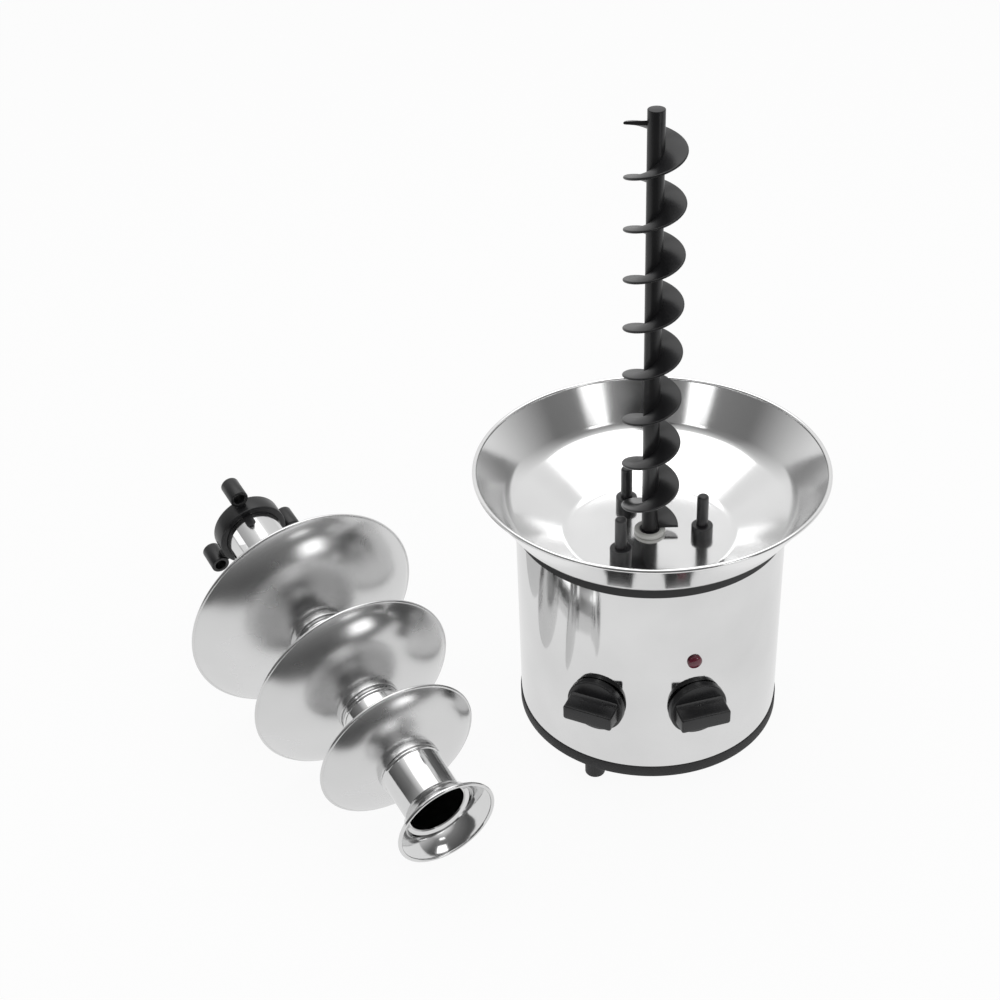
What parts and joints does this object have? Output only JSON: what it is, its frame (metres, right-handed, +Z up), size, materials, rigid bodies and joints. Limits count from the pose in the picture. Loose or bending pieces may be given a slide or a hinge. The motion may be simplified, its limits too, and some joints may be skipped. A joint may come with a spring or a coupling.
{
  "type": "chocolate fountain",
  "caption": "Table-top chocolate fountain: heated steel base with flared bowl, driven screw auger, control knobs and lamp, and a tiered steel tower with domed canopies lying beside it.",
  "frame": {"origin": "on the vertical axis of the base, in the plane of the undersides of its feet", "axes": "+Z up along the auger; -Y towards the front with the knobs; +X to the right seen from the front, so the tower lies on the -X side"},
  "size_m": [0.4622, 0.3202, 0.4591],
  "materials": {
    "steel": "mirror polished",
    "black_plastic": "satin black",
    "black_rubber": "matte black",
    "lamp_red": "translucent dark red",
    "pale_plastic": "natural",
    "plated_steel": "zinc plated",
    "sintered_brass": "machined",
    "heater_aluminium": "as cast",
    "heater_sheath": "heat darkened",
    "moulded_tan": "moulded",
    "white_plastic": "moulded",
    "grey_plastic": "moulded",
    "motor_steel": "grey paint",
    "seal_rubber": "moulded"
  },
  "bodies": {
    "base": {"body_shell": "steel", "bottom_trim_ring": "black_rubber", "base_plate": "plated_steel", "foot_1": "black_rubber", "foot_2": "black_rubber", "foot_3": "black_rubber", "bowl": "steel", "bowl_gasket": "black_rubber", "support_post_1": "black_plastic", "support_post_2": "black_plastic", "support_post_3": "black_plastic", "post_nuts": "plated_steel", "shaft_bush": "black_plastic", "bush_nut": "plated_steel", "shaft_seal": "seal_rubber", "thrust_washer": "pale_plastic", "heater_plate": "heater_aluminium", "heater_element": "heater_sheath", "thermal_cutout": "moulded_tan", "bracket_plate": "plated_steel", "bracket_pillars": "plated_steel", "pillar_screws": "plated_steel", "lower_bush": "sintered_brass", "gear_cover": "grey_plastic", "gear_cover_screws": "plated_steel", "motor_can": "motor_steel", "motor_screws": "plated_steel", "motor_switch": "white_plastic", "heat_thermostat": "moulded_tan", "switch_screws": "plated_steel", "lamp_lens": "lamp_red", "lamp_body": "white_plastic", "lamp_nut": "plated_steel", "cord_gland": "black_plastic", "gland_nut": "black_plastic", "terminal_block": "white_plastic"},
    "drive": {"output_shaft": "plated_steel", "output_gear": "pale_plastic"},
    "rotor": {"motor_shaft": "plated_steel", "motor_pinion": "sintered_brass"},
    "auger": {"auger": "black_plastic"},
    "motor_knob": {"motor_knob": "black_plastic", "motor_spindle": "plated_steel"},
    "heat_knob": {"heat_knob": "black_plastic", "heat_spindle": "plated_steel"},
    "tower_middle": {"middle_tube": "steel", "canopy_medium": "steel"},
    "tower_bottom": {"tower_collar": "black_plastic", "lower_tube": "steel", "canopy_large": "steel"},
    "tower_top": {"upper_tube": "steel", "canopy_small": "steel", "crown_cup": "steel"}
  },
  "joints": [
    {"name": "drive_spin", "type": "hinge", "parent": "base", "child": "drive", "pos_m": [0, 0, 0.1], "axis": [0, 0, 1], "continuous": true},
    {"name": "rotor_spin", "type": "hinge", "parent": "base", "child": "rotor", "pos_m": [0, 0.032, 0.1], "axis": [0, 0, 1], "continuous": true},
    {"name": "auger_lift", "type": "slide", "parent": "drive", "child": "auger", "axis": [0, 0, 1], "range_m": [0, 0.09]},
    {"name": "motor_knob_turn", "type": "hinge", "parent": "base", "child": "motor_knob", "pos_m": [-0.03297, -0.08589, 0.076], "axis": [-0.3584, -0.9336, 0], "range_deg": [-90, 0]},
    {"name": "heat_knob_turn", "type": "hinge", "parent": "base", "child": "heat_knob", "pos_m": [0.03297, -0.08589, 0.076], "axis": [0.3584, -0.9336, 0], "range_deg": [-270, 0]},
    {"name": "tower_lift", "type": "slide", "parent": "base", "child": "tower_middle", "axis": [0, 0, 1], "range_m": [0, 0.3]},
    {"name": "tower_bottom_pull", "type": "slide", "parent": "tower_middle", "child": "tower_bottom", "axis": [-0.5667, 0.8093, 0.1544], "range_m": [0, 0.025]},
    {"name": "tower_top_pull", "type": "slide", "parent": "tower_middle", "child": "tower_top", "axis": [0.5667, -0.8093, -0.1544], "range_m": [0, 0.025]}
  ],
  "couplings": [
    {"joint": "rotor_spin", "follows": "drive_spin", "ratio": -3}
  ]
}
